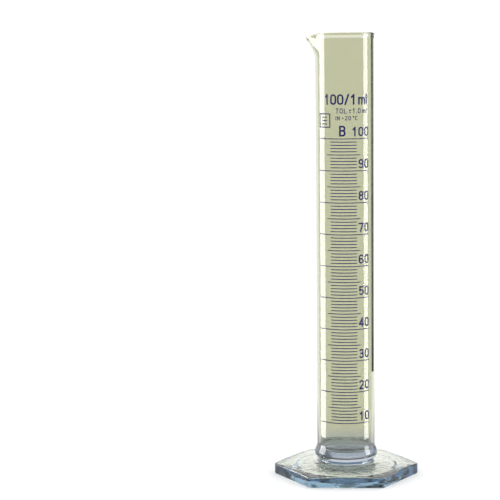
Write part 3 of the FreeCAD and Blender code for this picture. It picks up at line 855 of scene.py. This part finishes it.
class Print:
    """Gathers strokes of enamel, laid round the tube, into one mesh."""

    def __init__(self):
        self.points = []
        self.faces = []

    def stroke(self, stroke, cap_height, width, angle, baseline, lift):
        """One stroke, with x = 0 of its glyph at the angle and y = 0 half its width over the baseline."""
        scale = cap_height - width
        half = width / 2 / scale
        closed = math.dist(pen_places(stroke, 1)[0][:2], pen_places(stroke, 1)[-1][:2]) < half / 100
        places = pen_places(stroke if closed else squared(stroke, half), PRINT_STEP / scale)
        if closed:
            places = places[:-1]
        first = len(self.points)
        for x, y, left_x, left_y in places:
            for side, radius in (
                (half, TUBE_RADIUS + ENAMEL + lift), (-half, TUBE_RADIUS + ENAMEL + lift),
                (-half, TUBE_RADIUS - PRINT_BITE), (half, TUBE_RADIUS - PRINT_BITE),
            ):
                turn = angle + (x + left_x * side) * scale / TUBE_RADIUS + PRINT_TURN
                height = baseline + width / 2 + (y + left_y * side) * scale
                self.points.append((radius * math.sin(turn), -radius * math.cos(turn), height))
        count = len(places)
        for i in range(count if closed else count - 1):
            here, there = first + 4 * i, first + 4 * ((i + 1) % count)
            self.faces += [
                (here + k, here + (k + 1) % 4, there + (k + 1) % 4, there + k) for k in range(4)
            ]
        if not closed:
            last = first + 4 * (count - 1)
            self.faces += [(first + 3, first + 2, first + 1, first), (last, last + 1, last + 2, last + 3)]

    def glyph(self, glyph, cap_height, width, angle, baseline):
        """One character with its middle at the angle."""
        glyph_width, strokes = glyph
        start = angle - glyph_width * (cap_height - width) / 2 / TUBE_RADIUS
        for number, stroke in enumerate(strokes):
            self.stroke(stroke, cap_height, width, start, baseline, number * STROKE_LIFT)

    def text(self, text, cap_height, width, gap, left_angle, baseline):
        place = 0.0
        for character in text:
            wide = advance(character, cap_height, width)
            self.glyph(
                GLYPHS[character], cap_height, width, left_angle + (place + wide / 2) / TUBE_RADIUS, baseline
            )
            place += wide + gap

    def finish(self, name, node):
        mesh = mesh_of(name, self.points, (), self.faces)
        face_outwards(mesh)
        mesh.materials.append(BLUE)
        piece = bpy.data.objects.new(name, mesh)
        bpy.context.scene.collection.objects.link(piece)
        stand_in(piece, node)


def advance(character, cap_height, width):
    return GLYPHS[character][0] * (cap_height - width) + width


def text_width(text, cap_height, width, gap):
    return sum(advance(character, cap_height, width) for character in text) + gap * (len(text) - 1)


def mark_height(millilitres):
    return ZERO_HEIGHT + millilitres * ML_HEIGHT


def numeral_left_angle(text):
    """Where a number starts, so that it ends where two digits beside the 1 ml marks do."""
    pair = text_width("00", NUMERAL_HEIGHT, NUMERAL_STROKE, NUMERAL_GAP)
    width = text_width(text, NUMERAL_HEIGHT, NUMERAL_STROKE, NUMERAL_GAP)
    return ONE_ML_HALF_ARC + NUMERAL_CLEARANCE + (pair - width) / TUBE_RADIUS


def ten_ml_half_arc():
    """The long marks run as far as the numerals that stand on them."""
    pair = text_width("00", NUMERAL_HEIGHT, NUMERAL_STROKE, NUMERAL_GAP)
    return numeral_left_angle("00") + pair / TUBE_RADIUS


def numerals():
    for millilitres in range(MARK_FROM, MARK_TO + 1, 10):
        text = str(millilitres)
        ink = Print()
        ink.text(
            text, NUMERAL_HEIGHT, NUMERAL_STROKE, NUMERAL_GAP, numeral_left_angle(text),
            mark_height(millilitres + NUMERAL_LIFT),
        )
        ink.finish(f"numeral_{text}_print", f"numeral_{text}")


def labels():
    top = mark_height(MARK_TO)
    title = Print()
    wide = text_width(TITLE_TEXT, TITLE_HEIGHT, TITLE_STROKE, TITLE_GAP)
    title.text(
        TITLE_TEXT, TITLE_HEIGHT, TITLE_STROKE, TITLE_GAP, TITLE_ANGLE - wide / 2 / TUBE_RADIUS,
        top + TITLE_LIFT,
    )
    title.finish("capacity_title_print", "capacity_title")
    letter = Print()
    wide = advance("B", CLASS_HEIGHT, CLASS_STROKE)
    letter.glyph(
        GLYPHS["B"], CLASS_HEIGHT, CLASS_STROKE,
        numeral_left_angle(str(MARK_TO)) - (CLASS_GAP + wide / 2) / TUBE_RADIUS,
        mark_height(MARK_TO + NUMERAL_LIFT),
    )
    letter.finish("class_letter_print", "class_letter")
    for name, text, height, width, gap, lift in (
        ("tolerance_label", TOLERANCE_TEXT, TOLERANCE_HEIGHT,
         TOLERANCE_STROKE, TOLERANCE_GAP, TOLERANCE_LIFT),
        ("temperature_label", TEMPERATURE_TEXT, TEMPERATURE_HEIGHT,
         TEMPERATURE_STROKE, TEMPERATURE_GAP, TEMPERATURE_LIFT),
    ):
        label = Print()
        label.text(text, height, width, gap, SMALL_TEXT_ANGLE, top + lift)
        label.finish(name + "_print", name)


def level_emblem():
    """A plain square frame with level bars in it."""
    corners = [(0, 0), (1, 0), (1, 1), (0, 1), (0, 0)]
    sides = [[pen_line(*start, *end)] for start, end in zip(corners, corners[1:])]
    heights = [(bar + 1) / (EMBLEM_BARS + 1) for bar in range(EMBLEM_BARS)]
    bars = [[pen_line(EMBLEM_BAR_INSET, height, 1 - EMBLEM_BAR_INSET, height)] for height in heights]
    ink = Print()
    ink.glyph(
        (1, sides + bars), EMBLEM_SIDE, EMBLEM_STROKE,
        SMALL_TEXT_ANGLE - (EMBLEM_GAP + EMBLEM_SIDE / 2) / TUBE_RADIUS, mark_height(MARK_TO) + EMBLEM_LIFT,
    )
    ink.finish("level_emblem_print", "level_emblem")


# --- studio -----------------------------------------------------------------------

def camera():
    data = bpy.data.cameras.new("camera")
    data.lens = CAMERA_LENS
    data.sensor_width = 36
    data.clip_start = 0.01
    seat = bpy.data.objects.new("camera", data)
    seat.matrix_world = (
        Matrix.Translation(CAMERA_PLACE)
        @ Matrix.Rotation(CAMERA_TURN, 4, "Z")
        @ Matrix.Rotation(math.pi / 2 - CAMERA_DIP, 4, "X")
        @ Matrix.Rotation(CAMERA_ROLL, 4, "Z")
    )
    bpy.context.scene.collection.objects.link(seat)
    bpy.context.scene.camera = seat


def softbox(name, bearing, width):
    """A tall light beside the object, at a bearing from -Y towards +X, facing the axis.

    It gives highlights only: it isn't seen itself, directly or through the glass.
    """
    data = bpy.data.lights.new(name, "AREA")
    data.shape = "RECTANGLE"
    data.size = width
    data.size_y = SOFTBOX_HEIGHT
    data.energy = SOFTBOX_STRENGTH * width * SOFTBOX_HEIGHT * math.pi
    lamp = bpy.data.objects.new(name, data)
    turn = math.radians(bearing)
    place = Vector((
        SOFTBOX_DISTANCE * math.sin(turn), -SOFTBOX_DISTANCE * math.cos(turn),
        SOFTBOX_HEIGHT / 2 - SOFTBOX_DROP,
    ))
    aim = Vector((-place.x, -place.y, 0))
    lamp.matrix_world = Matrix.Translation(place) @ aim.to_track_quat("-Z", "Y").to_matrix().to_4x4()
    lamp.visible_camera = False
    lamp.visible_diffuse = False
    lamp.visible_transmission = False
    bpy.context.scene.collection.objects.link(lamp)


def grey(brightness):
    return (brightness, brightness, brightness, 1)


def studio_world():
    """A pale room with one dark card standing far behind, by bearing from +Y to +X."""
    world = bpy.data.worlds.new("studio")
    world.use_nodes = True
    world.node_tree.nodes.clear()
    graph = Graph(world.node_tree)
    direction = graph.put("ShaderNodeTexCoord").outputs["Generated"]
    x, y, _ = graph.split(direction)
    bearing = graph.maths("DIVIDE", graph.maths("ARCTAN2", x, y), 2 * math.pi)
    share = graph.maths("ADD", bearing, 0.5)
    ramp = graph.put("ShaderNodeValToRGB", {0: share})
    stops = ramp.color_ramp.elements
    for stop in stops:
        stop.color = grey(ROOM_IN_GLASS)
    card_start, card_end = DARK_CARD_BEARINGS
    for degrees, brightness in (
        (card_start - DARK_CARD_BLUR, ROOM_IN_GLASS), (card_start, DARK_CARD),
        (card_end, DARK_CARD), (card_end + DARK_CARD_BLUR, ROOM_IN_GLASS),
    ):
        stop = stops.new(degrees / 360 + 0.5)
        stop.color = grey(brightness)
    path = graph.put("ShaderNodeLightPath").outputs
    plain = graph.maths("MAXIMUM", path["Is Camera Ray"], path["Is Diffuse Ray"])
    seen = graph.put("ShaderNodeMix", {
        "Factor": plain, "A": ramp.outputs[0], "B": grey(ROOM_SEEN),
    }, data_type="RGBA").outputs["Result"]
    background = graph.put("ShaderNodeBackground", {"Color": seen, "Strength": 1.0})
    graph.put("ShaderNodeOutputWorld", {0: background.outputs[0]})
    bpy.context.scene.world = world


def floor():
    """A round pale table top, just under the foot."""
    material, graph = new_material("pale_floor")
    place = graph.put("ShaderNodeTexCoord").outputs["Object"]
    cloud = graph.put("ShaderNodeTexNoise", {"Vector": place, "Scale": 3.0}).outputs[0]
    colour = graph.put("ShaderNodeMix", {
        "Factor": cloud, "A": grey(FLOOR_SHADES[0]), "B": grey(FLOOR_SHADES[1]),
    }, data_type="RGBA").outputs["Result"]
    shader = graph.put("ShaderNodeBsdfDiffuse", {"Color": colour})
    graph.put("ShaderNodeOutputMaterial", {0: shader.outputs[0]})
    turns = [2 * math.pi * side / FLOOR_SIDES for side in range(FLOOR_SIDES)]
    rim = [(FLOOR_RADIUS * math.cos(turn), FLOOR_RADIUS * math.sin(turn), 0) for turn in turns]
    mesh = mesh_of("studio_floor", rim, (), [tuple(range(FLOOR_SIDES))])
    mesh.materials.append(material)
    ground = bpy.data.objects.new("studio_floor", mesh)
    ground.location.z = -FLOOR_GAP
    bpy.context.scene.collection.objects.link(ground)


measuring_tube()
hex_foot()
scale_marks(ten_ml_half_arc())
numerals()
labels()
level_emblem()

camera()
studio_world()
softbox("softbox_left", *LEFT_SOFTBOX)
softbox("softbox_right", *RIGHT_SOFTBOX)
floor()
bpy.context.scene.view_settings.view_transform = "Standard"
